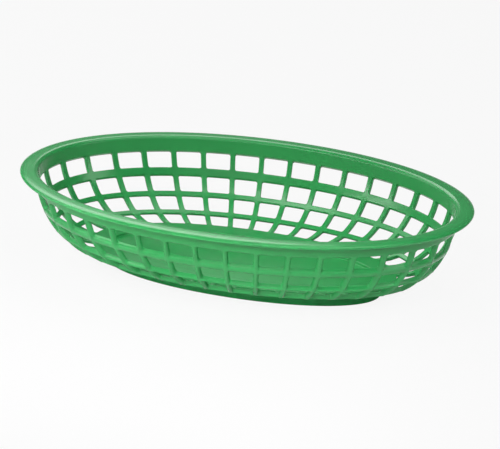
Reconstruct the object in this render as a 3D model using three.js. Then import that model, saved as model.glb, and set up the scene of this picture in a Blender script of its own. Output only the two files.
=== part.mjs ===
// Oval serving basket: one rigid plastic moulding with a flanged rim, an open lattice wall, a foot and a
// closed floor. It is modelled as its named features, which meet face to face as they do in the moulding.
// Millimetres, +Z up, long axis along X, origin on the table under the middle of the basket.
// Every oval is set in from the rim's outer edge by an inset, so the levels of the wall stay parallel.
import * as THREE from "three";

// Overall
const basketLength = 238;
const basketWidth = 154;
const basketHeight = 48.4;
const ovalFullness = 2.05; // exponent of the oval: 2 is an ellipse, more is squarer
const wallThickness = 1.7; // of the hoops, the floor ring and the floor panel

// Rim: a level flange over a plain band
const flangeWidth = 9.3; // from the outer edge to the inside face of the band
const flangeThickness = 1.9;
const lipTopRadius = 0.9;
const lipBottomRadius = 0.5;
const insideRimRadius = 1.5;
const underFlangeFillet = 1;
const bandHeight = 7.8; // from the top of the rim to the first windows
const bandLean = 0.8; // how far the band leans in over its height

// Wall curve from the band down to the floor: a cubic with these handles
const floorLevel = 10.1; // top of the floor ring above the table
const floorInset = 38.6; // where the wall has turned level
const upperHandle = 3;
const lowerHandle = 21.7;

// Lattice
const ribCount = 36;
const ribWidthInside = 2.5;
const ribWidthOutside = 1.7;
const ribStandProud = 0.5; // of the hoops, on the outside
const hoopWidths = [4, 2.5, 2.1]; // along the wall, from the top
const windowHeights = [8.7, 8.5, 8.4, 10.8]; // along the wall, stretched together to fill it
const windowCorner = 1.3;

// Foot and floor
const footInset = 45.2; // outer face of the foot, at the table
const footLean = 0.8; // the foot widens by this much up to the floor panel
const footThickness = 1.7;
const footLedge = 2.4; // how far the floor ring runs on inside the foot, to its step down to the panel

// Fineness
const facetsPerRib = 2; // of the plain rings
const cornerSteps = 3;
const arcSteps = 1440; // for walking a curve by its length

const plastic = { color: 0x3f9c5f, roughness: 0.32, metalness: 0 };

// An oval of the basket, as a closed curve that can be walked by arc length.
class Oval extends THREE.Curve {
  constructor(inset) {
    super();
    this.halfLength = basketLength / 2 - inset;
    this.halfWidth = basketWidth / 2 - inset;
    this.arcLengthDivisions = arcSteps;
  }

  getPoint(turn, target = new THREE.Vector2()) {
    const angle = 2 * Math.PI * turn;
    const round = (c) => Math.sign(c) * Math.abs(c) ** (2 / ovalFullness);
    return target.set(
      this.halfLength * round(Math.cos(angle)),
      this.halfWidth * round(Math.sin(angle)),
    );
  }

  // The point at a share of the way round, from 0 on the +X end.
  around(share) {
    return this.getPointAt(share - Math.floor(share));
  }
}

const ovals = new Map();
function ovalAt(inset) {
  if (!ovals.has(inset)) ovals.set(inset, new Oval(inset));
  return ovals.get(inset);
}

// A point of the basket: an inset, a height and a share of the way round.
function pointAt({ inset, z }, share) {
  const p = ovalAt(inset).around(share);
  return [p.x, p.y, z];
}

function geometryOf(positions, triangles) {
  const geometry = new THREE.BufferGeometry();
  geometry.setAttribute("position", new THREE.Float32BufferAttribute(positions.flat(), 3));
  geometry.setIndex(triangles.flat());
  return geometry;
}

// A closed ring swept round the oval from a section of insets and heights. The section runs down its
// inside face, outwards underneath, up the outside and back over the top. A plate has no inside face:
// it is filled level across, at its section's first corner underneath and at the last one on top.
function ring(section, isPlate = false) {
  const columns = ribCount * facetsPerRib;
  const positions = [];
  const triangles = [];
  for (let c = 0; c < columns; c++)
    for (const corner of section) positions.push(pointAt(corner, c / columns));
  const at = (c, i) => (c % columns) * section.length + (i % section.length);
  const last = section.length - 1;
  const sides = isPlate ? last : section.length;
  for (let c = 0; c < columns; c++)
    for (let i = 0; i < sides; i++) {
      triangles.push([at(c, i), at(c + 1, i), at(c + 1, i + 1)]);
      triangles.push([at(c, i), at(c + 1, i + 1), at(c, i + 1)]);
    }
  if (isPlate) {
    const outline = [];
    for (let c = 0; c < columns; c++) outline.push(new THREE.Vector2(...positions[at(c, 0)]));
    for (const [a, b, c] of THREE.ShapeUtils.triangulateShape(outline, []))
      triangles.push([at(a, 0), at(c, 0), at(b, 0)], [at(a, last), at(b, last), at(c, last)]);
  }
  return geometryOf(positions, triangles);
}

// Points of an arc about a centre in the plane of the section, where angle 0 points inwards (growing
// inset) and a quarter turn points up.
function roundCorner(inset, z, radius, from, to) {
  const points = [];
  for (let i = 0; i <= cornerSteps; i++) {
    const angle = from + ((to - from) * i) / cornerSteps;
    points.push({ inset: inset + radius * Math.cos(angle), z: z + radius * Math.sin(angle) });
  }
  return points;
}

// Rim
const latticeTop = basketHeight - bandHeight;
const bandThickness = wallThickness + ribStandProud;
const flangeUnderside = basketHeight - flangeThickness;
const bandTop = flangeUnderside - underFlangeFillet;
const roundEnd = basketHeight - insideRimRadius;

// Inset of the band's inside face at a height.
function bandInside(z) {
  return flangeWidth + (bandLean * (roundEnd - z)) / (roundEnd - latticeTop);
}

function rimFlange() {
  const quarter = Math.PI / 2;
  const bandOutside = bandInside(bandTop) - bandThickness;
  const lipBottom = flangeUnderside + lipBottomRadius;
  const lipTop = basketHeight - lipTopRadius;
  return ring([
    ...roundCorner(flangeWidth - insideRimRadius, roundEnd, insideRimRadius, quarter, 0),
    { inset: bandInside(bandTop), z: bandTop },
    ...roundCorner(bandOutside - underFlangeFillet, bandTop, underFlangeFillet, 0, quarter),
    ...roundCorner(lipBottomRadius, lipBottom, lipBottomRadius, 3 * quarter, 2 * quarter),
    ...roundCorner(lipTopRadius, lipTop, lipTopRadius, 2 * quarter, quarter),
  ]);
}

function rimBand() {
  const corners = [];
  for (const z of [bandTop, latticeTop]) corners.push({ inset: bandInside(z), z });
  for (const z of [latticeTop, bandTop]) corners.push({ inset: bandInside(z) - bandThickness, z });
  return ring(corners);
}

// The inside face of the wall in section, from the band down to the level floor.
const bandSlope = new THREE.Vector2(bandLean, latticeTop - roundEnd).setLength(upperHandle);
const wallTop = new THREE.Vector2(bandInside(latticeTop), latticeTop);
const wallFoot = new THREE.Vector2(floorInset, floorLevel);
const wallCurve = new THREE.CubicBezierCurve(
  wallTop,
  wallTop.clone().add(bandSlope),
  new THREE.Vector2(floorInset - lowerHandle, floorLevel),
  wallFoot,
);
wallCurve.arcLengthDivisions = arcSteps;
const wallLength = wallCurve.getLength();

// The floor ring runs level from the last windows to a step inside the foot. The floor panel lies under
// the ring and on the foot.
const footTopInset = footInset - footLean;
const stepInset = footTopInset + footThickness + footLedge;
const floorRingWidth = stepInset - floorInset;
const panelTop = floorLevel - wallThickness;
const panelUnderside = panelTop - wallThickness;

// One level of the lattice: its inside and outside faces on a hoop, and its outside face on a rib.
function level(along) {
  if (along > wallLength) {
    const inset = floorInset + along - wallLength;
    const under = { inset, z: panelTop };
    return { inside: { inset, z: floorLevel }, hoop: under, rib: under };
  }
  const p = wallCurve.getPointAt(along / wallLength);
  const t = wallCurve.getTangentAt(along / wallLength);
  if (along === 0) t.set(0, -1); // the wall is cut level under the band
  if (along === wallLength) t.set(1, 0);
  const out = (d) => ({ inset: p.x + d * t.y, z: p.y - d * t.x });
  const proud = along === wallLength ? 0 : ribStandProud;
  return {
    inside: { inset: p.x, z: p.y },
    hoop: out(wallThickness),
    rib: out(wallThickness + proud),
  };
}

// Levels of the lattice: each row of windows has its top, the ends of its corners and its bottom.
const LEVELS_PER_ROW = 4;
const hoopTotal = hoopWidths.reduce((a, b) => a + b);
const windowTotal = windowHeights.reduce((a, b) => a + b);
const windowStretch = (wallLength - hoopTotal) / windowTotal;
const levels = [];
let along = 0;
windowHeights.forEach((height, row) => {
  const bottom = row === windowHeights.length - 1 ? wallLength : along + height * windowStretch;
  levels.push(level(along), level(along + windowCorner), level(bottom - windowCorner), level(bottom));
  along = bottom + (hoopWidths[row] ?? 0);
});
levels.push(level(wallLength + floorRingWidth));

// Each rib and window takes four places round the oval: the rib's two sides, then the ends of the
// window's corners. A place on a level gives a point on the inside face and one on the outside face.
const PLACES = 4;
const places = ribCount * PLACES;

function latticePoints(levelIndex, place) {
  const { inside, hoop, rib } = levels[levelIndex];
  const length = ovalAt(inside.inset).getLength();
  const half = ribWidthInside / 2;
  const halfOutside = levelIndex < levels.length - 2 ? ribWidthOutside / 2 : half;
  const kind = place % PLACES;
  const windowEnd = length / ribCount - half - windowCorner;
  const insideStep = [-half, half, half + windowCorner, windowEnd][kind];
  const outsideStep = [-halfOutside, halfOutside][kind] ?? insideStep;
  const ribShare = Math.floor(place / PLACES) / ribCount;
  return {
    inside: pointAt(inside, ribShare + insideStep / length),
    outside: pointAt(kind < 2 ? rib : hoop, ribShare + outsideStep / length),
  };
}

// A solid between the two faces of the lattice, from tiles whose corners are [level, place]. Each tile is
// listed round by growing place, then growing level. An edge that only one tile uses gets an end face.
function latticeSolid(tiles) {
  const index = new Map();
  const positions = [];
  const vertex = ([levelIndex, place]) => {
    const key = levelIndex * places + (place % places);
    if (!index.has(key)) {
      const { inside, outside } = latticePoints(levelIndex, place % places);
      index.set(key, positions.length);
      positions.push(inside, outside);
    }
    return { key, inside: index.get(key), outside: index.get(key) + 1 };
  };
  const edges = new Map();
  const triangles = [];
  for (const tile of tiles) {
    const corners = tile.map(vertex);
    for (let i = 2; i < corners.length; i++) {
      const [a, b, c] = [corners[0], corners[i - 1], corners[i]];
      triangles.push([a.inside, b.inside, c.inside], [a.outside, c.outside, b.outside]);
    }
    corners.forEach((a, i) => {
      const b = corners[(i + 1) % corners.length];
      if (!edges.delete(b.key + ">" + a.key)) edges.set(a.key + ">" + b.key, [a, b]);
    });
  }
  // The diagonal of an end face depends only on its corners, so two pieces that meet there match.
  for (const [a, b] of edges.values())
    if (a.key < b.key) triangles.push([b.inside, a.inside, b.outside], [a.inside, a.outside, b.outside]);
    else triangles.push([b.inside, a.inside, a.outside], [b.inside, a.outside, b.outside]);
  return geometryOf(positions, triangles);
}

// One row of the lattice: its ribs, the gussets that round its windows, and the hoop or ring below it.
function latticeRow(row) {
  const [top, upper, lower, bottom] = [0, 1, 2, 3].map((i) => row * LEVELS_PER_ROW + i);
  const below = bottom + 1;
  const tiles = [];
  const quad = (l0, l1, p0, p1) => tiles.push([[l0, p0], [l0, p1], [l1, p1], [l1, p0]]);
  for (let rib = 0; rib < ribCount; rib++) {
    const [left, right, near, far] = [0, 1, 2, 3].map((i) => rib * PLACES + i);
    const next = left + PLACES;
    quad(top, upper, left, right);
    quad(upper, lower, left, right);
    quad(lower, bottom, left, right);
    quad(bottom, below, left, right);
    quad(bottom, below, right, near);
    quad(bottom, below, near, far);
    quad(bottom, below, far, next);
    tiles.push([[top, right], [top, near], [upper, right]]);
    tiles.push([[top, far], [top, next], [upper, next]]);
    tiles.push([[lower, right], [bottom, near], [bottom, right]]);
    tiles.push([[lower, next], [bottom, next], [bottom, far]]);
  }
  return latticeSolid(tiles);
}

// Foot: a thin skirt under the floor panel.
function footRing() {
  return ring([
    { inset: footTopInset + footThickness, z: panelUnderside },
    { inset: footInset + footThickness, z: 0 },
    { inset: footInset, z: 0 },
    { inset: footTopInset, z: panelUnderside },
  ]);
}

// Floor panel: a closed plate out to the outer face of the foot. Its faces turn at the ring's step.
function floorPanel() {
  const corners = [];
  for (const inset of [stepInset, footTopInset]) corners.push({ inset, z: panelUnderside });
  for (const inset of [footTopInset, stepInset]) corners.push({ inset, z: panelTop });
  return ring(corners, true);
}

const basket = new THREE.Group();
function add(name, geometry) {
  const mesh = new THREE.Mesh(geometry, new THREE.MeshStandardMaterial(plastic));
  mesh.name = name;
  basket.add(mesh);
}

add("rim_flange", rimFlange());
add("rim_band", rimBand());
add("lattice_upper_hoop", latticeRow(0));
add("lattice_middle_hoop", latticeRow(1));
add("lattice_lower_hoop", latticeRow(2));
add("lattice_floor_ring", latticeRow(3));
add("foot_ring", footRing());
add("floor_panel", floorPanel());

export default basket;
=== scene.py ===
"""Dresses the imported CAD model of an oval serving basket: one green plastic moulding on a white floor.

The basket is one closed skin worked out with numpy, kept as four pieces: the rim, the lattice wall,
the floor panel and the foot. Lengths inside the shape functions are millimetres. An inset is a
distance in from the rim's outer edge, so each level of the basket is the oval of one inset. A share
is a part of the way round an oval, from 0 at the +X end. A distance along is measured down the
inside face of the wall, from the top of the windows.
"""

import functools
from collections import namedtuple

import bpy
import numpy as np
from mathutils import Matrix, Vector


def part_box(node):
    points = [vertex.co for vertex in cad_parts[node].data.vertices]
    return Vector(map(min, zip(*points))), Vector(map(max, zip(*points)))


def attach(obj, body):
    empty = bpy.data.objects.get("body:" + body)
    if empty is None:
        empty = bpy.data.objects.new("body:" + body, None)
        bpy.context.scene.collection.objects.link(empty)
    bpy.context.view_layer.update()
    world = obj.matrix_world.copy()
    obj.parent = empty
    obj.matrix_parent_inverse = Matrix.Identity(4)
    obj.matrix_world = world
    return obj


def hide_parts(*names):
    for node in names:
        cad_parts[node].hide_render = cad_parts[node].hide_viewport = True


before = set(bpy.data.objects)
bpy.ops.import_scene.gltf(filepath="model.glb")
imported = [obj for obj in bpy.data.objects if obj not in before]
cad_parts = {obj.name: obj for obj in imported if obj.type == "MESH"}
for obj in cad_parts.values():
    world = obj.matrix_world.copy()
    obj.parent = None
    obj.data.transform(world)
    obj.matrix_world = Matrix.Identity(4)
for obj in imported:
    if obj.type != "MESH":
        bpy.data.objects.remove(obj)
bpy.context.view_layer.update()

bl_info = {
    "name": "Oval serving basket",
    "version": (1, 0, 0),
    "blender": (4, 5, 0),
    "location": "View3D > Sidebar > Basket",
    "description": "Builds an open-lattice oval basket of moulded plastic around its packed CAD model",
    "category": "Add Mesh",
}

MM = 0.001  # metres in a millimetre
BODY = "root"

# The oval and the main levels, from the CAD model's own boxes
HALF_LENGTH, HALF_WIDTH, RIM_TOP = np.array(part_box("rim_flange")[1]) / MM
LATTICE_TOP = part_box("lattice_upper_hoop")[1].z / MM
PANEL_UNDERSIDE, PANEL_TOP = (corner.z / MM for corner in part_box("floor_panel"))
WALL = PANEL_TOP - PANEL_UNDERSIDE
FLOOR_TOP = PANEL_TOP + WALL  # top of the floor ring, which lies on the panel
OVAL_FULLNESS = 2.05  # exponent of the oval: 2 is an ellipse, more is squarer

# Sizes of the tables in which the oval and the wall's curve are looked up
TABLE_INSETS = np.linspace(-2, 62, 129)
TABLE_ANGLES = 4097
TABLE_SHARES = 1025
CURVE_POINTS = 2001

# Section of the wall's inside face, as insets and heights
FLANGE_INSIDE = 9.3  # inset where the flange's level top would meet the band
INSIDE_REACH, INSIDE_FALL = 2.8, 1.8  # size of the rounding from the flange into the band
BAND_LEAN = 0.8  # how much further in the band ends than it starts
UPPER_HANDLE, LOWER_HANDLE = 3.0, 21.7  # lengths of the handles that bend the wall's curve
FLOOR_INSET = 38.6  # where the wall meets the level floor ring

# Section of the rim
FLANGE_THICKNESS = 1.9
LIP_REACH, LIP_FALL = 4.2, 1.3  # size of the slow rounding from the flange's top out to its lip
LIP_BOTTOM_ROUND = 0.5
UNDER_FLANGE_ROUND = 1.0

# Section of the floor ring's step, the floor panel and the foot
STEP_INSET = 48.5  # where the floor ring steps down to the panel
STEP_EDGE_ROUND = 0.5
PANEL_ROUND = 0.6  # in the corners where the panel meets the step and the foot
FOOT_INSET = 45.2  # outer face of the foot, at the table
FOOT_LEAN = 0.8  # the foot widens by this much up to the floor ring
FOOT_THICKNESS = 1.7
FOOT_EDGE_ROUND = 0.5
UNDER_RING_ROUND = 0.8
PANEL_RINGS = np.array([0.8, 0.5, 0.2])  # rings of the panel's faces, as parts of its size

# Steps along those sections
STRAIGHT_STEPS = 3
FOOT_SIDE_STEPS = 4
UNDER_STEPS = 5  # along the underside of the flange, and round the corners under flange and ring
INSIDE_ROUND_STEPS = 10
LIP_ROUND_STEPS = 12
SMALL_ROUND_STEPS = 4

# The lattice, along the wall
RIBS = 36
HOOP_WIDTHS = np.array([4.0, 2.6, 2.6])  # from the top
WINDOW_HEIGHTS = np.array([8.75, 8.55, 8.4, 9.4])  # stretched together to fill the wall
WINDOW_DROPS = np.array([0.8, 0.6, 0.3, 0.0])  # how much lower the windows lie on the outside face
LATTICE_EXTRA = 0.2  # how much thicker the lattice is than the floor ring
FLOOR_LIP = 1.1  # how far the floor ring's edge runs up the wall under the lowest windows
RIB_FADE = 9.0  # length over which the ribs and that extra sink into the floor ring
BAND_EDGE = 0.8  # height over which the band thins to the wall under it

# Steps of the lattice's grid: per rib and window round the oval, and per row of windows
RIB_STEPS = 3  # from a rib's middle to its edge
CORNER_PLACES = np.array([0.16, 0.35, 0.66, 1])  # columns over a window's corner, as parts of it
CORNER_STEPS = len(CORNER_PLACES)  # along each of the two sides that a window's corner takes
SIDE_STEPS = 3  # down the straight part of a window's side
SPAN_STEPS = 4  # along the straight part of its top
ARC_STEPS = 2 * CORNER_STEPS
ROUND_STEPS = 3  # across the rounding of an edge
CELL_COLUMNS = 2 * (RIB_STEPS + CORNER_STEPS) + SPAN_STEPS
COLUMNS = RIBS * CELL_COLUMNS
ROW_LEVELS = 2 * (CORNER_STEPS + 1) + SIDE_STEPS
MARGIN = 2.0  # how far the lattice's grid runs into the band and the floor ring

# The plastic. Noise scales are in cycles per metre, and a bump has a strength and a height in metres.
PLASTIC_IOR = 1.5
CLOUD_SCALE, CLOUD_SPREAD = 28.0, 0.12  # the colour gets this much deeper and lighter
PATCH_SCALE, PATCH_SPREAD = 90.0, 0.10  # the roughness varies over this range
GRAIN_SCALE, GRAIN_BUMP = 2600.0, (0.06, 0.00004)
WAVE_SCALE, WAVE_BUMP = 130.0, (0.08, 0.0002)

# The floor and the world
PLAIN_WHITE = (1, 1, 1, 1)
FLOOR_REACH = 4.0  # from the basket's middle to the floor's sides, in metres
FLOOR_COLOUR = (0.55, 0.55, 0.55, 1)
FLOOR_WHITE = 0.9  # part of the floor's look to the camera that is plain white
FLOOR_CLEAR = (0.65, 1.05)  # where reflections begin to show it white, in parts of the rim's size
WORLD_FILL = 0.05  # light of the world on the basket
WORLD_ROOM = 0.2  # the room that reflections show
WORLD_HORIZON = (0.02, 0.12)  # rise of the direction over which white gives way to the room

# Light. Each softbox has its azimuth and elevation in degrees, its distance, width and height in
# metres, its power in watts, and in degrees how far it tips down from the basket's middle and the
# angle in which it shines.
ALL_ROUND = 180
SOFTBOXES = (
    ("overhead", 60, 82, 1.0, 0.6, 0.6, 2.2, 0, ALL_ROUND),
    ("back left", 125, 39, 0.85, 0.45, 0.35, 1.5, 0, ALL_ROUND),
    ("left", -175, 35, 0.8, 0.5, 0.5, 1.3, 0, ALL_ROUND),
    ("high left", -128, 50, 0.9, 0.3, 0.25, 1.1, 0, ALL_ROUND),
    ("low left", -142, 17, 0.8, 0.35, 0.14, 0.9, 0, ALL_ROUND),
    ("strip", -75, 52, 0.9, 0.9, 0.05, 1.2, 0, ALL_ROUND),
    ("front", -92, 27, 0.4, 0.3, 0.12, 0.19, 12, 50),
    ("right", -10, 24, 0.5, 0.25, 0.2, 0.4, 0, ALL_ROUND),
)

# The camera, fitted to the photograph: angles in degrees, lengths in millimetres
CAMERA_AZIMUTH, CAMERA_ELEVATION, CAMERA_ROLL = 20.43, 20.45, 1.52
CAMERA_DISTANCE = 1702.0
CAMERA_RIGHT, CAMERA_UP = 3.93, 25.92  # how far the middle of the frame is from the basket's origin
PIXELS_PER_MM = 1.9596
FRAME_WIDTH = 500  # in pixels
SENSOR_WIDTH = 36
CLIP_END = 20  # in metres


def length_setting(name, description, default, low, high):
    """A setting that is a length, given in millimetres."""
    return bpy.props.FloatProperty(
        name=name, description=description, default=default * MM, min=low * MM, max=high * MM,
        unit="LENGTH", precision=5)


class BasketShape(bpy.types.PropertyGroup):
    """Sizes of the moulding that show as detail."""

    wall: length_setting(
        "Wall", "Thickness of the floor ring, a little less than the lattice's", WALL, 1.6, 3)
    rib_inside: length_setting(
        "Rib inside", "Width of a rib on the inside of the basket", 2.7, 1.2, 4)
    rib_outside: length_setting(
        "Rib outside", "Width of a rib on the outside of the basket", 2.8, 2.4, 4)
    rib_proud: length_setting(
        "Rib stands proud", "How far a rib stands out of the lattice", 0.5, 0, 1)
    window_corner: length_setting(
        "Window corner", "Radius of a window's corners", 0.9, 0.5, 2)
    hoop_proud: length_setting(
        "Hoop stands proud", "How far the rounded face of a hoop stands out", 0.4, 0, 1)
    inside_edge: length_setting(
        "Inside edge", "Radius of a window's edges on the inside of the basket", 0.4, 0.1, 0.6)
    outside_edge: length_setting(
        "Outside edge", "Radius of a window's edges on the outside of the basket", 1.1, 0.1, 1.2)


class BasketFinish(bpy.types.PropertyGroup):
    """Colour and gloss of the plastic."""

    colour: bpy.props.FloatVectorProperty(
        name="Colour", description="Colour of the plastic, in linear light",
        default=(0.026, 0.360, 0.087), min=0, max=1, size=3, subtype="COLOR")
    roughness: bpy.props.FloatProperty(
        name="Roughness", description="Roughness of the moulded surface, in the middle of its range",
        default=0.21, min=0, max=1, subtype="FACTOR")


Shape = namedtuple("Shape", BasketShape.__annotations__)


def millimetres(settings):
    """The sizes of the settings in millimetres, as the shape that the functions below take."""
    return Shape(*(getattr(settings, name) / MM for name in Shape._fields))


def powered(values):
    """Cosines or sines raised to 2 / fullness, with their sign kept."""
    return np.sign(values) * np.abs(values) ** (2 / OVAL_FULLNESS)


@functools.cache
def oval_table():
    """Length of the quarter oval at each inset of the table, and its angle at even shares of that.

    A quarter oval is (a cos^p t, b sin^p t) for t from 0 to a right angle, with a and b the half
    length and half width less the inset. Its length is the sum of its chords.
    """
    angles = np.linspace(0, np.pi / 2, TABLE_ANGLES)
    x = (HALF_LENGTH - TABLE_INSETS)[:, None] * powered(np.cos(angles))
    y = (HALF_WIDTH - TABLE_INSETS)[:, None] * powered(np.sin(angles))
    chords = np.hypot(np.diff(x, axis=1), np.diff(y, axis=1))
    lengths = np.concatenate([np.zeros((len(TABLE_INSETS), 1)), np.cumsum(chords, axis=1)], axis=1)
    shares = np.linspace(0, 1, TABLE_SHARES)
    by_share = np.array([np.interp(shares * row[-1], row, angles) for row in lengths])
    return lengths[:, -1], by_share


def oval_length(inset):
    """Length of the whole oval at an inset."""
    return 4 * np.interp(inset, TABLE_INSETS, oval_table()[0])


def oval_xy(share, inset):
    """Points of the oval at shares of the way round it and insets, both arrays.

    The share's quarter gives the signs. Within it the angle comes from the table, between its two
    nearest insets and two nearest shares.
    """
    by_share = oval_table()[1]
    turn = 4 * (share - np.floor(share))
    quarter = np.minimum(np.floor(turn), 3)
    within = turn - quarter
    within = np.where(quarter % 2 == 0, within, 1 - within)
    column = within * (TABLE_SHARES - 1)
    row = (inset - TABLE_INSETS[0]) / (TABLE_INSETS[1] - TABLE_INSETS[0])
    c0 = np.clip(np.floor(column).astype(int), 0, TABLE_SHARES - 2)
    r0 = np.clip(np.floor(row).astype(int), 0, len(TABLE_INSETS) - 2)
    fc, fr = column - c0, row - r0
    angle = (
        by_share[r0, c0] * (1 - fr) * (1 - fc) + by_share[r0, c0 + 1] * (1 - fr) * fc
        + by_share[r0 + 1, c0] * fr * (1 - fc) + by_share[r0 + 1, c0 + 1] * fr * fc)
    side_x = np.where((quarter == 1) | (quarter == 2), -1, 1)
    side_y = np.where(quarter >= 2, -1, 1)
    x = side_x * (HALF_LENGTH - inset) * powered(np.cos(angle))
    y = side_y * (HALF_WIDTH - inset) * powered(np.sin(angle))
    return x, y


def on_oval(share, inset, z):
    """Points in space at a share, an inset and a height, as rows of x, y and z in millimetres."""
    share, inset, z = np.broadcast_arrays(share, inset, z)
    x, y = oval_xy(share, inset)
    return np.stack([x, y, z], axis=-1)


def smooth_step(low, high, value):
    """0 below low, 1 above high, and a smooth cubic between them."""
    t = np.clip((value - low) / (high - low), 0, 1)
    return t * t * (3 - 2 * t)


@functools.cache
def wall_table():
    """Table of the wall's inside face: a straight band, a cubic Bezier curve and the level floor.

    Gives distances along the face and its points there, as insets and heights, then the distances
    of the middles between them and the directions there, and last the distance where the curve ends.
    """
    band_top = np.array([FLANGE_INSIDE, RIM_TOP - INSIDE_FALL])
    top = np.array([FLANGE_INSIDE + BAND_LEAN, LATTICE_TOP])
    foot = np.array([FLOOR_INSET, FLOOR_TOP])
    slope = (top - band_top) / np.linalg.norm(top - band_top)
    handles = [top, top + UPPER_HANDLE * slope, foot - [LOWER_HANDLE, 0], foot]
    t = np.linspace(0, 1, CURVE_POINTS)[:, None]
    bernstein = [(1 - t) ** 3, 3 * (1 - t) ** 2 * t, 3 * (1 - t) * t * t, t ** 3]
    curve = sum(weight * handle for weight, handle in zip(bernstein, handles))
    floor_end = np.array([[STEP_INSET, FLOOR_TOP]])
    points = np.concatenate([band_top[None], curve, floor_end])
    steps = np.linalg.norm(np.diff(points, axis=0), axis=1)
    along = np.concatenate([[0], np.cumsum(steps)]) - steps[0]
    middles = (along[1:] + along[:-1]) / 2
    directions = np.diff(points, axis=0) / steps[:, None]
    return along, points, middles, directions, along[-2]


def wall_point(along, depth):
    """Inset and height at a distance along the inside face and a depth below it into the plastic."""
    table, points, middles, directions, _ = wall_table()
    inset, z = (np.interp(along, table, points[:, i]) for i in (0, 1))
    run, rise = (np.interp(along, middles, directions[:, i]) for i in (0, 1))
    size = np.hypot(run, rise)
    return inset + depth * rise / size, z - depth * run / size


def window_edges(side):
    """Distances along the wall of the top and the bottom of each row of windows, on one face.

    Side 0 is the inside and side 1 the outside, where the windows lie lower, as the mould opens
    upwards and downwards.
    """
    length = wall_table()[-1] - FLOOR_LIP
    stretch = (length - HOOP_WIDTHS.sum()) / WINDOW_HEIGHTS.sum()
    heights = WINDOW_HEIGHTS * stretch
    tops = np.concatenate([[0], np.cumsum(heights[:-1] + HOOP_WIDTHS)]) + side * WINDOW_DROPS
    return tops, tops + heights


def thickness(across, along, shape):
    """Thickness of the wall at a distance across from a rib's middle and a distance along.

    Ribs and hoops have rounded faces, with 1 - x^2 of their height at a part x of the way from their
    middle to their edge. Where they cross, the height is the root of the sum of the squares. The
    ribs and the lattice's extra thickness fade out at the floor ring, and the band is as thick as
    the ribs.
    """
    tops, bottoms = window_edges(1)
    proud = shape.rib_proud
    half = shape.rib_outside / 2
    fade = 1 - smooth_step(bottoms[-1] - RIB_FADE, bottoms[-1], along)
    rib = proud * fade * (1 - (across / half) ** 2).clip(0)
    base = shape.wall + LATTICE_EXTRA * fade
    hoop = np.zeros_like(along)
    for bottom, top in zip(bottoms[:-1], tops[1:]):
        part = (2 * along - bottom - top) / (top - bottom)
        hoop += shape.hoop_proud * (1 - part ** 2).clip(0)
    band = proud * (1 - smooth_step(tops[0], tops[0] + BAND_EDGE, along))
    return base + np.maximum(np.hypot(rib, hoop), band)


def lattice_levels(side, edge, shape):
    """Distances along the wall of the levels of one face's grid, 13 to a row of windows.

    edge is the rounding of the windows' edges. Each row of windows has the middle of the hoop above
    it, its rounded top edge, the steps down its upper corner, its straight side and its lower
    corner, and its bottom edge.
    """
    tops, bottoms = window_edges(side)
    corner = shape.window_corner
    middles = np.concatenate([[-MARGIN], (bottoms[:-1] + tops[1:]) / 2])
    levels = []
    for top, bottom, middle in zip(tops, bottoms, middles):
        levels += [
            [middle],
            np.linspace(top - edge, top + corner, CORNER_STEPS + 1),
            np.linspace(top + corner, bottom - corner, SIDE_STEPS + 1)[1:-1],
            np.linspace(bottom - corner, bottom + edge, CORNER_STEPS + 1),
        ]
    levels.append([bottoms[-1] + MARGIN])
    return np.concatenate(levels)


def column_shares(half_rib, edge, along, shape):
    """Shares round the oval of the grid's columns, for each distance along the wall.

    From a rib's middle the columns run to its edge, over the window's corner, and over the straight
    part to the next rib, as its mirror image. Their places across are millimetres from a rib.
    """
    corner = shape.window_corner
    rib = np.linspace(0, half_rib - edge, RIB_STEPS + 1)
    across = np.concatenate([rib, half_rib - edge + (corner + edge) * CORNER_PLACES])
    per_rib = 1 / RIBS
    length = oval_length(wall_point(along, 0)[0])[:, None]
    left = across[None] / length
    right = per_rib - left[:, ::-1]
    share = np.linspace(0, 1, SPAN_STEPS + 1)[None, 1:-1]
    span = left[:, -1:] * (1 - share) + right[:, :1] * share
    cell = np.concatenate([left, span, right[:, :-1]], axis=1)
    start = np.arange(RIBS)[:, None, None] * per_rib
    return np.moveaxis(start + cell[None], 0, 1).reshape(len(along), COLUMNS)


def distance_to_rib(share, along):
    """Distance across from the middle of the nearest rib, in millimetres on the inside face."""
    turn = share * RIBS
    return np.abs(turn - np.round(turn)) / RIBS * oval_length(wall_point(along, 0)[0])


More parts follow.
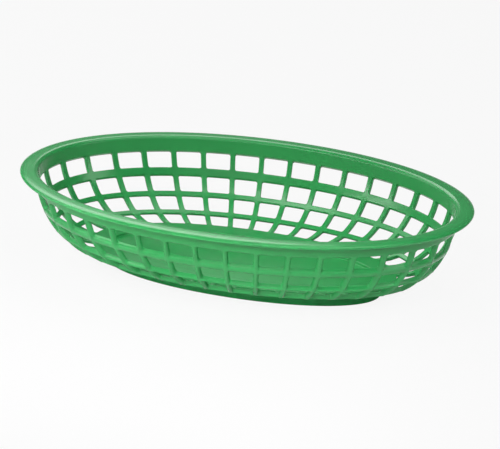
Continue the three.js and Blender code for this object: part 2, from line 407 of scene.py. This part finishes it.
def window_loop(side, half_rib, grow, shape):
    """Share and distance along of the outline of each window on one face, grown by a distance.

    The outline starts at the upper end of the left side's straight part and runs down, round the
    lower left corner, along the bottom, up the right side and back along the top. A corner is an arc
    of the corner's radius plus the growth.
    """
    tops, bottoms = (ends[:, None] for ends in window_edges(side))
    corner = shape.window_corner
    radius = corner + grow
    turn = np.linspace(0, np.pi / 2, ARC_STEPS + 1)[None]
    down = np.linspace(0, 1, SIDE_STEPS + 1)[None]
    over = np.linspace(0, 1, SPAN_STEPS + 1)[None]
    rows = len(tops)

    def quarter(side_down):
        # Distance from the rib and distance from the window's end, from the side round to the end
        from_rib = half_rib - grow + radius * (1 - np.cos(turn))
        from_end = corner - radius * np.sin(turn)
        along = bottoms - from_end if side_down else tops + from_end
        return np.repeat(from_rib, rows, 0), along

    side_along = tops + corner + down * (bottoms - tops - 2 * corner)
    side_across = np.full_like(side_along, half_rib - grow)
    low_across, low_along = quarter(True)
    high_across, high_along = quarter(False)
    end_across = half_rib + corner
    bottom_along = np.repeat(bottoms + grow, SPAN_STEPS + 1, 1)
    top_along = np.repeat(tops - grow, SPAN_STEPS + 1, 1)

    def share_at(across, along, mirrored):
        part = across / oval_length(wall_point(along, 0)[0])
        return 1 / RIBS - part if mirrored else part

    def span(along, back):
        left = share_at(end_across, along, False)
        right = share_at(end_across, along, True)
        t = over[:, ::-1] if back else over
        return left * (1 - t) + right * t

    pieces = [
        (share_at(side_across, side_along, False)[:, :-1], side_along[:, :-1]),
        (share_at(low_across, low_along, False)[:, :-1], low_along[:, :-1]),
        (span(bottom_along, False)[:, :-1], bottom_along[:, :-1]),
        (share_at(low_across, low_along, True)[:, :0:-1], low_along[:, :0:-1]),
        (share_at(side_across, side_along, True)[:, :0:-1], side_along[:, :0:-1]),
        (share_at(high_across, high_along, True)[:, :-1], high_along[:, :-1]),
        (span(top_along, True)[:, :-1], top_along[:, :-1]),
        (share_at(high_across, high_along, False)[:, :0:-1], high_along[:, :0:-1]),
    ]
    share = np.concatenate([piece[0] for piece in pieces], axis=1)
    along = np.concatenate([piece[1] for piece in pieces], axis=1)
    starts = np.arange(RIBS)[None, :, None] / RIBS
    return share[:, None] + starts, np.repeat(along[:, None], RIBS, 1)


def grid_index(level, column):
    """Index of a point of the lattice's grid. Columns run on round the oval."""
    return level * COLUMNS + column % COLUMNS


def face_skin(first, arcs):
    """Quads and triangles of one face of the lattice, with the windows left out.

    first is the index of the grid's first point, and arcs the indices of the window's four arcs, by
    row, rib, corner and step, without their ends. Hoops and ribs are quads of the grid. Each window
    corner is a fan between its arc and the two grid lines behind it.
    """
    rows, ribs = len(WINDOW_HEIGHTS), np.arange(RIBS)
    starts = np.arange(rows) * ROW_LEVELS
    hoop_levels = np.stack([starts, starts + ROW_LEVELS - 1], axis=1).ravel()
    rib_levels = (starts[:, None] + 1 + np.arange(ROW_LEVELS - 2)).ravel()
    near_rib = np.concatenate([np.arange(RIB_STEPS), CELL_COLUMNS - 1 - np.arange(RIB_STEPS)])
    rib_columns = (ribs[:, None] * CELL_COLUMNS + near_rib[None]).ravel()
    level = np.concatenate([
        np.repeat(hoop_levels, COLUMNS),
        np.repeat(rib_levels, len(rib_columns))])
    column = np.concatenate([
        np.tile(np.arange(COLUMNS), len(hoop_levels)),
        np.tile(rib_columns, len(rib_levels))])
    quads = [first + np.stack([
        grid_index(level, column), grid_index(level, column + 1),
        grid_index(level + 1, column + 1), grid_index(level + 1, column)], axis=-1)]
    triangles = []
    steps = np.arange(CORNER_STEPS + 1)
    cell = ribs[None, :, None] * CELL_COLUMNS
    top = starts[:, None, None] + 1
    bottom = top + ROW_LEVELS - 2
    left, right = RIB_STEPS, CELL_COLUMNS - RIB_STEPS
    # The grid line behind each arc, listed in the order of the window's outline
    behind = [
        (bottom - CORNER_STEPS + steps, cell + left, bottom, cell + left + steps),
        (bottom, cell + right - CORNER_STEPS + steps, bottom - steps, cell + right),
        (top + CORNER_STEPS - steps, cell + right, top, cell + right - steps),
        (top, cell + left + CORNER_STEPS - steps, top + steps, cell + left),
    ]
    for corner, (level_a, column_a, level_b, column_b) in enumerate(behind):
        part_a = grid_index(*np.broadcast_arrays(level_a, column_a))
        part_b = grid_index(*np.broadcast_arrays(level_b, column_b))
        part_a, part_b = (np.broadcast_to(p, (rows, RIBS, len(steps))) for p in (part_a, part_b))
        line = first + np.concatenate([part_a, part_b[..., 1:]], axis=-1)
        curve = np.concatenate([line[..., :1], arcs[:, :, corner], line[..., -1:]], axis=-1)
        a, b = line[..., :-1], line[..., 1:]
        c, d = curve[..., 1:], curve[..., :-1]
        quads.append(np.stack([b, a, d, c], axis=-1)[:, :, 1:-1].reshape(-1, 4))
        triangles.append(np.stack([b, a, c], axis=-1)[:, :, 0].reshape(-1, 3))
        triangles.append(np.stack([b, a, d], axis=-1)[:, :, -1].reshape(-1, 3))
    return np.concatenate(quads), np.concatenate(triangles)


def outline_indices(first, arcs):
    """Indices of the points of each window's outline on one face, in the outline's order."""
    rows = len(WINDOW_HEIGHTS)
    cell = (np.arange(RIBS) * CELL_COLUMNS)[None, :, None]
    row_start = (np.arange(rows) * ROW_LEVELS)[:, None, None]
    top, bottom = row_start + 1, row_start + ROW_LEVELS - 1
    left, right = cell + RIB_STEPS, cell + CELL_COLUMNS - RIB_STEPS
    side, span = np.arange(SIDE_STEPS + 1), np.arange(SPAN_STEPS + 1)
    sides = [
        (top + CORNER_STEPS + side, left),
        (bottom, left + CORNER_STEPS + span),
        (bottom - CORNER_STEPS - side, right),
        (top, right - CORNER_STEPS - span),
    ]
    parts = []
    for corner, (level, column) in enumerate(sides):
        line = first + grid_index(*np.broadcast_arrays(level, column))
        parts += [np.broadcast_to(line, (rows, RIBS, line.shape[-1])), arcs[:, :, corner]]
    return np.concatenate(parts, axis=-1)


def arc_places():
    """Places in a window's outline of the points inside its four arcs, one row to a corner."""
    starts = np.cumsum([SIDE_STEPS, ARC_STEPS + SPAN_STEPS, ARC_STEPS + SIDE_STEPS,
                        ARC_STEPS + SPAN_STEPS])
    return starts[:, None] + np.arange(1, ARC_STEPS)[None]


def arc(centre, radius, first, last, steps):
    """Insets and heights of an arc round a centre, from one angle to another in degrees.

    Angle 0 points inwards, where insets grow, and 90 degrees points up. An arc of an ellipse has two
    radii, the one across first.
    """
    turn = np.radians(np.linspace(first, last, steps + 1))
    return np.stack([np.cos(turn), np.sin(turn)], axis=1) * radius + centre


def straight(start, end, steps):
    """Insets and heights between two points of a section, without its ends."""
    return np.linspace(start, end, steps + 1)[1:-1]


def rim_section(start, end):
    """Insets and heights of the rim, from the band's inside over the flange to the band's outside.

    The section is straight up the band, rounds slowly into the level flange and down to its lip,
    turns back under the flange and rounds down the band again. start and end are the lattice's own
    points, left out.
    """
    under = RIM_TOP - FLANGE_THICKNESS
    inside = (FLANGE_INSIDE - INSIDE_REACH, RIM_TOP - INSIDE_FALL)
    lip_top = (LIP_REACH, RIM_TOP - LIP_FALL)
    lip_bottom = (LIP_BOTTOM_ROUND, under + LIP_BOTTOM_ROUND)
    band_outside = FLANGE_INSIDE + end[0] - start[0]
    under_flange = (band_outside - UNDER_FLANGE_ROUND, under - UNDER_FLANGE_ROUND)
    return np.concatenate([
        straight(start, (FLANGE_INSIDE, inside[1]), STRAIGHT_STEPS),
        arc(inside, (INSIDE_REACH, INSIDE_FALL), 0, 90, INSIDE_ROUND_STEPS),
        straight((inside[0], RIM_TOP), (lip_top[0], RIM_TOP), STRAIGHT_STEPS),
        arc(lip_top, (LIP_REACH, LIP_FALL), 90, 180, LIP_ROUND_STEPS),
        arc(lip_bottom, LIP_BOTTOM_ROUND, 180, 270, SMALL_ROUND_STEPS),
        straight((lip_bottom[0], under), (under_flange[0], under), UNDER_STEPS),
        arc(under_flange, UNDER_FLANGE_ROUND, 90, 0, UNDER_STEPS),
        straight((band_outside, under_flange[1]), end, STRAIGHT_STEPS),
    ])


def foot_inset(z):
    """Inset of the foot's outer face at a height."""
    return FOOT_INSET - FOOT_LEAN * z / PANEL_TOP


def step_section():
    """Insets and heights of the floor ring's rounded edge and its step down, to the panel's corner."""
    edge = (STEP_INSET - STEP_EDGE_ROUND, FLOOR_TOP - STEP_EDGE_ROUND)
    return np.concatenate([
        arc(edge, STEP_EDGE_ROUND, 90, 0, SMALL_ROUND_STEPS),
        [(STEP_INSET, PANEL_TOP + PANEL_ROUND)],
    ])


def foot_section():
    """Insets and heights of the foot, from the panel's underside down and up to the floor ring."""
    low, high = FOOT_EDGE_ROUND, PANEL_UNDERSIDE - PANEL_ROUND
    inner = (foot_inset(high) + FOOT_THICKNESS + PANEL_ROUND, high)
    toe_in = (FOOT_INSET + FOOT_THICKNESS - low, low)
    toe_out = (FOOT_INSET + low, low)
    top = (foot_inset(PANEL_TOP) - UNDER_RING_ROUND, PANEL_TOP - UNDER_RING_ROUND)
    return np.concatenate([
        arc(inner, PANEL_ROUND, 90, 180, SMALL_ROUND_STEPS),
        straight((inner[0] - PANEL_ROUND, high), (toe_in[0] + low, low), STRAIGHT_STEPS),
        arc(toe_in, low, 0, -90, SMALL_ROUND_STEPS),
        arc(toe_out, low, 270, 180, SMALL_ROUND_STEPS),
        straight((FOOT_INSET, low), (top[0] + UNDER_RING_ROUND, top[1]), FOOT_SIDE_STEPS),
        arc(top, UNDER_RING_ROUND, 0, 90, UNDER_STEPS),
    ])


def strip_quads(rings):
    """Quads between rings of points that follow each other. rings holds their indices, row by row."""
    a, b = rings[:-1], rings[1:]
    return np.stack([a, b, np.roll(b, -1, axis=1), np.roll(a, -1, axis=1)], axis=-1).reshape(-1, 4)


def vertex_normals(points, faces):
    """Unit normals at the points, each the sum of the area vectors of the faces round it.

    The cross product of a quad's diagonals, or of two sides of a triangle, is twice its area vector.
    A point without a face, inside a window of the grid, gets a normal of zero.
    """
    total = np.zeros_like(points)
    for block in faces:
        corners = points[block]
        area = np.cross(corners[:, 2] - corners[:, 0], corners[:, -1] - corners[:, 1])
        for axis in range(3):
            weights = np.repeat(area[:, axis], block.shape[1])
            total[:, axis] += np.bincount(block.ravel(), weights, len(points))
    size = np.linalg.norm(total, axis=1, keepdims=True)
    return total / np.where(size > 0, size, 1)


class Skin:
    """Points of the whole basket as they are added, in millimetres."""

    def __init__(self):
        self.blocks, self.count = [], 0

    def add(self, points):
        """Adds an array of points and returns their indices, in the array's own shape."""
        index = self.count + np.arange(points[..., 0].size).reshape(points.shape[:-1])
        self.blocks.append(points.reshape(-1, 3))
        self.count += index.size
        return index

    def points(self):
        """All points so far, one to a row."""
        return np.concatenate(self.blocks)

    def sweep(self, section, share_from, share_to):
        """Adds the rings of a section of insets and heights, with shares that blend on the way."""
        part = np.linspace(0, 1, len(section) + 2)[1:-1, None]
        share = share_from * (1 - part) + share_to * part
        return self.add(on_oval(share, section[:, :1], section[:, 1:]))


def lattice_faces(skin, shape):
    """Adds the lattice to the skin. Returns its quads, its triangles, and the grids of its two faces.

    The lattice is a grid over the inside face and one over the outside face. Each window joins them
    by a tube of outlines: a quarter round, the straight wall of the hole, and a quarter round again.
    """
    halves = [shape.rib_inside / 2, shape.rib_outside / 2]
    edges = [shape.inside_edge, shape.outside_edge]
    grids, shares = [], []
    for side, (half, edge) in enumerate(zip(halves, edges)):
        levels = lattice_levels(side, edge, shape)
        along = np.repeat(levels[:, None], COLUMNS, 1)
        share = column_shares(half, edge, levels, shape)
        depth = side * thickness(distance_to_rib(share, along), along, shape)
        grids.append(skin.add(on_oval(share, *wall_point(along, depth))))
        shares.append(share)

    # The outlines of the windows from the inside face to the outside face. The profile gives how far
    # each is grown and how deep it lies from its face, as parts of the rounding of the edge.
    turn = np.linspace(0, np.pi / 2, ROUND_STEPS + 1)
    profile = np.stack([1 - np.sin(turn), 1 - np.cos(turn)], axis=1)
    loops, arcs = [], []
    for side, (half, edge) in enumerate(zip(halves, edges)):
        for grow, depth in edge * (profile if side == 0 else profile[::-1]):
            share, loop_along = window_loop(side, half, grow, shape)
            outer = thickness(distance_to_rib(share, loop_along), loop_along, shape)
            outline = on_oval(share, *wall_point(loop_along, outer - depth if side else depth))
            if depth == 0:
                arcs.append(skin.add(outline[:, :, arc_places()]))
                loops.append(outline_indices(grids[side][0, 0], arcs[side]))
            else:
                loops.append(skin.add(outline))

    quads, triangles = [], []
    for side, grid in enumerate(grids):
        flat, fans = face_skin(grid[0, 0], arcs[side])
        quads.append(flat[:, ::-1] if side else flat)
        triangles.append(fans[:, ::-1] if side else fans)
    for near, far in zip(loops[:-1], loops[1:]):
        near_next, far_next = (np.roll(loop, -1, axis=-1) for loop in (near, far))
        quads.append(np.stack([near, far, far_next, near_next], axis=-1).reshape(-1, 4))
    return np.concatenate(quads), np.concatenate(triangles), grids, shares


def flat_middle(skin, edge_ring):
    """Rings of a level face from its edge towards its middle, and the fan that closes it there."""
    edge = skin.points()[edge_ring]
    level = edge[None] * [0, 0, 1]
    rings = skin.add(level + edge[None] * [1, 1, 0] * PANEL_RINGS[:, None, None])
    middle = skin.add(level[:, 0])
    inner = rings[-1]
    fan = np.stack([inner, np.repeat(middle, COLUMNS), np.roll(inner, -1)], axis=-1)
    return np.concatenate([edge_ring[None], rings]), fan


def moulded_skin(shape):
    """The whole basket as one closed skin: its points, and by piece the faces that show and that hide.

    The rim joins the upper ends of the lattice's two faces. Below, the inside runs over the floor
    ring's step and the panel's top to its middle, and the outside comes back by the panel's
    underside and round the foot. Each piece is closed by strips that stay hidden in the plastic.
    """
    skin = Skin()
    lattice_quads, lattice_triangles, (inside, outside), shares = lattice_faces(skin, shape)
    (top_in, bottom_in), (top_out, bottom_out) = (side[[0, -1]] for side in shares)
    first = np.array([-MARGIN])
    start, end = (np.concatenate(wall_point(first, depth)) for depth in
                  (0, thickness(np.zeros(1), first, shape)))
    rim = skin.sweep(rim_section(start, end), top_in, top_out)
    rim = np.concatenate([inside[:1], rim, outside[:1]])

    step = skin.sweep(step_section(), bottom_in, bottom_in)
    corner = arc((STEP_INSET + PANEL_ROUND, PANEL_TOP + PANEL_ROUND), PANEL_ROUND, 180, 270,
                 SMALL_ROUND_STEPS)
    corner = skin.sweep(corner[1:], bottom_in, bottom_in)
    foot = skin.sweep(foot_section(), bottom_out, bottom_out)
    top_rings, top_fan = flat_middle(skin, corner[-1])
    under_rings, under_fan = flat_middle(skin, foot[0])
    panel_side = np.concatenate([step[-1:], corner[:-1], top_rings])

    shown = {
        "rim": [strip_quads(rim)],
        "lattice_wall": [
            lattice_quads, lattice_triangles,
            strip_quads(np.concatenate([inside[-1:], step]))[:, ::-1],
            strip_quads(np.stack([foot[-1], outside[-1]]))[:, ::-1]],
        "floor_plate": [
            strip_quads(panel_side)[:, ::-1], top_fan[:, ::-1], strip_quads(under_rings), under_fan],
        "foot_skirt": [strip_quads(foot)[:, ::-1]],
    }
    hidden = {
        "rim": [strip_quads(np.stack([outside[0], inside[0]]))],
        "lattice_wall": [
            strip_quads(np.stack([inside[0], outside[0]])),
            strip_quads(np.stack([foot[-1], step[-1]]))],
        "floor_plate": [strip_quads(np.stack([step[-1], foot[0]]))],
        "foot_skirt": [
            strip_quads(np.stack([foot[0], step[-1]])),
            strip_quads(np.stack([step[-1], foot[-1]]))],
    }
    return skin.points(), shown, hidden


def new_piece(name, points, faces, normals):
    """A smooth mesh object of blocks of quads and triangles, with the points that it uses."""
    used = np.unique(np.concatenate([block.ravel() for block in faces]))
    place = np.zeros(len(points), dtype=int)
    place[used] = np.arange(len(used))
    mesh = bpy.data.meshes.new(name)
    mesh.from_pydata((points[used] * MM).tolist(), [],
                     [face for block in faces for face in place[block].tolist()])
    mesh.polygons.foreach_set("use_smooth", np.ones(len(mesh.polygons), dtype=bool))
    mesh.normals_split_custom_set_from_vertices(normals[used].tolist())
    mesh.update()
    piece = bpy.data.objects.new(name, mesh)
    bpy.context.scene.collection.objects.link(piece)
    return piece


def dress(piece, material, *nodes):
    """Gives a piece its material, its body and the CAD nodes that it stands for."""
    piece.data.materials.append(material)
    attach(piece, BODY)
    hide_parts(*nodes)


class Value:
    """A socket of a node tree that takes part in arithmetic."""

    def __init__(self, tree, socket):
        self.tree, self.socket = tree, socket

    def _math(self, operation, other):
        sockets = {"Value": self, "Value_001": other}
        return self.tree.node("ShaderNodeMath", sockets, operation=operation)["Value"]

    def __add__(self, other):
        return self._math("ADD", other)

    def __mul__(self, other):
        return self._math("MULTIPLY", other)

    def largest(self, other):
        """The larger of this value and another."""
        return self._math("MAXIMUM", other)


class Tree:
    """The node tree of a new material or of the world, cleared."""

    def __init__(self, owner):
        owner.use_nodes = True
        self.nodes, self.links = owner.node_tree.nodes, owner.node_tree.links
        self.nodes.clear()

    def node(self, kind, sockets=(), **settings):
        """Adds a node, sets its own settings first, then its sockets. Returns its outputs as Values.

        Sockets go by their identifiers, which differ where names repeat.
        """
        made = self.nodes.new(kind)
        for name, value in settings.items():
            setattr(made, name, value)
        inputs = {socket.identifier: socket for socket in made.inputs}
        for name, value in dict(sockets).items():
            if isinstance(value, Value):
                self.links.new(value.socket, inputs[name])
            else:
                inputs[name].default_value = value
        return {socket.identifier: Value(self, socket) for socket in made.outputs}

    def rays(self):
        """Whether a ray comes from the camera, and whether it was mirrored or let through."""
        path = self.node("ShaderNodeLightPath")
        return path["Is Camera Ray"], path["Is Glossy Ray"].largest(path["Is Transmission Ray"])

    def smooth_step(self, value, limits, ends=(0, 1)):
        """Smooth step from one end to the other, as a value passes from one limit to the other."""
        return self.node("ShaderNodeMapRange", {
            "Value": value, "From Min": limits[0], "From Max": limits[1],
            "To Min": ends[0], "To Max": ends[1]}, interpolation_type="SMOOTHSTEP")["Result"]

    def mix(self, part, first, second):
        """A shader between two others, all of the second where the part is 1."""
        sockets = {"Fac": part, "Shader": first, "Shader_001": second}
        return self.node("ShaderNodeMixShader", sockets)["Shader"]

    def output(self, kind, surface):
        """Makes a shader the surface of the material or the world."""
        self.node(kind, {"Surface": surface})


def noise(tree, place, scale, detail):
    """Noise from about 0 to 1 at a scale in cycles per metre."""
    return tree.node("ShaderNodeTexNoise", {"Vector": place, "Scale": scale, "Detail": detail})["Fac"]


@functools.cache
def moulded_plastic(base_colour, middle_roughness):
    """Semi-gloss plastic: faint clouding of the pigment, uneven gloss and a fine mould grain.

    It is made once for a colour and a roughness, and all pieces share it.
    """
    material = bpy.data.materials.new("green moulded plastic")
    tree = Tree(material)
    place = tree.node("ShaderNodeTexCoord")["Object"]
    clouds = noise(tree, place, CLOUD_SCALE, 3)
    patches = noise(tree, place, PATCH_SCALE, 2)
    grain = noise(tree, place, GRAIN_SCALE, 2)
    waves = noise(tree, place, WAVE_SCALE, 1)
    deep = [(1 - CLOUD_SPREAD) * channel for channel in base_colour] + [1]
    light = [(1 + CLOUD_SPREAD) * channel for channel in base_colour] + [1]
    colour = tree.node("ShaderNodeMix", {
        "Factor_Float": clouds, "A_Color": deep, "B_Color": light}, data_type="RGBA")["Result_Color"]
    roughness = patches * PATCH_SPREAD + (middle_roughness - PATCH_SPREAD / 2)
    fine = tree.node("ShaderNodeBump", {
        "Strength": GRAIN_BUMP[0], "Distance": GRAIN_BUMP[1], "Height": grain})["Normal"]
    bump = tree.node("ShaderNodeBump", {
        "Strength": WAVE_BUMP[0], "Distance": WAVE_BUMP[1], "Height": waves, "Normal": fine})["Normal"]
    shader = tree.node("ShaderNodeBsdfPrincipled", {
        "Base Color": colour, "Roughness": roughness, "Normal": bump, "IOR": PLASTIC_IOR})["BSDF"]
    tree.output("ShaderNodeOutputMaterial", shader)
    return material


def white_floor():
    """A white floor with the object's soft shadow, nearly even to the camera.

    Reflections show the same plain white from a little way off the basket, and the lit floor under it.
    """
    material = bpy.data.materials.new("white floor")
    tree = Tree(material)
    direct, mirrored = tree.rays()
    place = tree.node("ShaderNodeTexCoord")["Object"]
    rim = (HALF_LENGTH * MM, HALF_WIDTH * MM, 1)
    oval = tree.node("ShaderNodeVectorMath", {"Vector": place, "Vector_001": rim}, operation="DIVIDE")
    away = tree.node("ShaderNodeVectorMath", {"Vector": oval["Vector"]}, operation="LENGTH")["Value"]
    lit = tree.node("ShaderNodeBsdfDiffuse", {"Color": FLOOR_COLOUR})["BSDF"]
    plain = tree.node("ShaderNodeEmission", {"Color": PLAIN_WHITE, "Strength": 1})["Emission"]
    seen = (direct * FLOOR_WHITE).largest(mirrored * tree.smooth_step(away, FLOOR_CLEAR))
    tree.output("ShaderNodeOutputMaterial", tree.mix(seen, lit, plain))
    return material


def studio_world():
    """Dim even light round the object, and a white background to the camera.

    Mirrored and transmitted rays see that white too near the horizon, where the background stands,
    and the dim room above it.
    """
    world = bpy.data.worlds.new("studio")
    bpy.context.scene.world = world
    tree = Tree(world)

    def even(strength):
        return tree.node("ShaderNodeBackground", {
            "Color": PLAIN_WHITE, "Strength": strength})["Background"]

    direct, mirrored = tree.rays()
    direction = tree.node("ShaderNodeTexCoord")["Generated"]
    height = tree.node("ShaderNodeSeparateXYZ", {"Vector": direction})["Z"]
    low = tree.smooth_step(height, WORLD_HORIZON, (1, 0))
    above = tree.mix(mirrored, even(WORLD_FILL), even(WORLD_ROOM))
    seen = direct.largest(mirrored * low)
    tree.output("ShaderNodeOutputWorld", tree.mix(seen, above, even(1)))


@functools.cache
def basket_skin(shape):
    """The skin of a shape of basket and its normals, worked out once for all four pieces."""
    points, shown, hidden = moulded_skin(shape)
    normals = vertex_normals(points, [block for piece in shown.values() for block in piece])
    return points, shown, hidden, normals


def build(name, *nodes):
    """Builds one piece of the skin, closed, and dresses it for its CAD nodes."""
    scene = bpy.context.scene
    points, shown, hidden, normals = basket_skin(millimetres(scene.basket_shape))
    piece = new_piece(name, points, shown[name] + hidden[name], normals)
    finish = scene.basket_finish
    dress(piece, moulded_plastic(tuple(finish.colour), finish.roughness), *nodes)


class BASKET_OT_rim(bpy.types.Operator):
    """Builds the level flange and the band under it"""

    bl_idname = "basket.rim"
    bl_label = "Rim"

    def execute(self, context):
        build("rim", "rim_flange", "rim_band")
        return {"FINISHED"}


class BASKET_OT_lattice(bpy.types.Operator):
    """Builds the wall of ribs and hoops with its four rows of windows, and the floor ring"""

    bl_idname = "basket.lattice"
    bl_label = "Lattice wall"

    def execute(self, context):
        build("lattice_wall", "lattice_upper_hoop", "lattice_middle_hoop", "lattice_lower_hoop",
              "lattice_floor_ring")
        return {"FINISHED"}


class BASKET_OT_floor(bpy.types.Operator):
    """Builds the closed floor, one step down inside the floor ring"""

    bl_idname = "basket.floor"
    bl_label = "Floor panel"

    def execute(self, context):
        build("floor_plate", "floor_panel")
        return {"FINISHED"}


class BASKET_OT_foot(bpy.types.Operator):
    """Builds the foot, a thin skirt under the floor"""

    bl_idname = "basket.foot"
    bl_label = "Foot"

    def execute(self, context):
        build("foot_skirt", "foot_ring")
        return {"FINISHED"}


class BASKET_OT_stage(bpy.types.Operator):
    """Sets the floor, the lights, the world and the camera"""

    bl_idname = "basket.stage"
    bl_label = "Stage"

    def execute(self, context):
        scene = context.scene
        corners = [(side * FLOOR_REACH, end * FLOOR_REACH, 0)
                   for side, end in ((-1, -1), (1, -1), (1, 1), (-1, 1))]
        mesh = bpy.data.meshes.new("floor")
        mesh.from_pydata(corners, [], [(0, 1, 2, 3)])
        floor = bpy.data.objects.new("floor", mesh)
        floor.data.materials.append(white_floor())
        scene.collection.objects.link(floor)
        studio_world()
        for name, *light in SOFTBOXES:
            softbox(name, *light)
        set_camera(scene)
        scene.view_settings.view_transform = "Standard"
        return {"FINISHED"}


def softbox(name, azimuth, elevation, distance, width, height, power, tip, spread):
    """An area light that faces the basket's middle from a direction, or tips down from it.

    Azimuth 0 is +X and 90 degrees +Y. The light stays inside the angle of its spread, and one that
    doesn't shine all round stays out of reflections too.
    """
    light = bpy.data.lights.new(name, "AREA")
    light.shape = "RECTANGLE"
    light.size, light.size_y = width, height
    light.energy = power
    light.spread = np.radians(spread)
    lamp = bpy.data.objects.new(name, light)
    turn, rise, tip = np.radians([azimuth, elevation, tip])
    lamp.location = distance * direction(turn, rise)
    lamp.rotation_euler = direction(turn, rise + tip).to_track_quat("Z", "Y").to_euler()
    lamp.visible_camera = False
    lamp.visible_glossy = spread == ALL_ROUND
    bpy.context.scene.collection.objects.link(lamp)


def direction(turn, rise):
    """Unit vector at an azimuth and elevation in radians."""
    return Vector((np.cos(rise) * np.cos(turn), np.cos(rise) * np.sin(turn), np.sin(rise)))


def set_camera(scene):
    """A long lens at the angle of the photograph."""
    azimuth, elevation, roll = np.radians([CAMERA_AZIMUTH, CAMERA_ELEVATION, CAMERA_ROLL])
    back = np.array([np.sin(azimuth) * np.cos(elevation), -np.cos(azimuth) * np.cos(elevation),
                     np.sin(elevation)])
    level = np.array([np.cos(azimuth), np.sin(azimuth), 0])
    upright = np.cross(back, level)
    right = np.cos(roll) * level + np.sin(roll) * upright
    up = np.cos(roll) * upright - np.sin(roll) * level
    eye = (CAMERA_DISTANCE * back + CAMERA_RIGHT * right + CAMERA_UP * up) * MM
    data = bpy.data.cameras.new("camera")
    data.sensor_width = SENSOR_WIDTH
    data.lens = PIXELS_PER_MM * CAMERA_DISTANCE / FRAME_WIDTH * SENSOR_WIDTH
    data.clip_end = CLIP_END
    camera = bpy.data.objects.new("camera", data)
    turned = np.eye(4)
    turned[:3, :4] = np.stack([right, up, back, eye], axis=1)
    camera.matrix_world = Matrix(turned.tolist())
    scene.collection.objects.link(camera)
    scene.camera = camera


class BASKET_PT_panel(bpy.types.Panel):
    """Sizes, finish and steps of the basket"""

    bl_label = "Oval basket"
    bl_idname = "BASKET_PT_panel"
    bl_space_type = "VIEW_3D"
    bl_region_type = "UI"
    bl_category = "Basket"

    def draw(self, context):
        for settings in (context.scene.basket_shape, context.scene.basket_finish):
            for name in settings.__annotations__:
                self.layout.prop(settings, name)
        for operator in STEPS:
            self.layout.operator(operator.bl_idname)


STEPS = (BASKET_OT_rim, BASKET_OT_lattice, BASKET_OT_floor, BASKET_OT_foot, BASKET_OT_stage)
CLASSES = (BasketShape, BasketFinish, *STEPS, BASKET_PT_panel)


def register():
    """Adds the settings, the operators and the panel to Blender."""
    for kind in CLASSES:
        bpy.utils.register_class(kind)
    bpy.types.Scene.basket_shape = bpy.props.PointerProperty(type=BasketShape)
    bpy.types.Scene.basket_finish = bpy.props.PointerProperty(type=BasketFinish)


def unregister():
    """Takes them out again."""
    del bpy.types.Scene.basket_shape
    del bpy.types.Scene.basket_finish
    for kind in reversed(CLASSES):
        bpy.utils.unregister_class(kind)


def main():
    """Builds the pieces and the stage."""
    register()
    bpy.ops.basket.rim()
    bpy.ops.basket.lattice()
    bpy.ops.basket.floor()
    bpy.ops.basket.foot()
    bpy.ops.basket.stage()


if __name__ == "__main__":
    main()
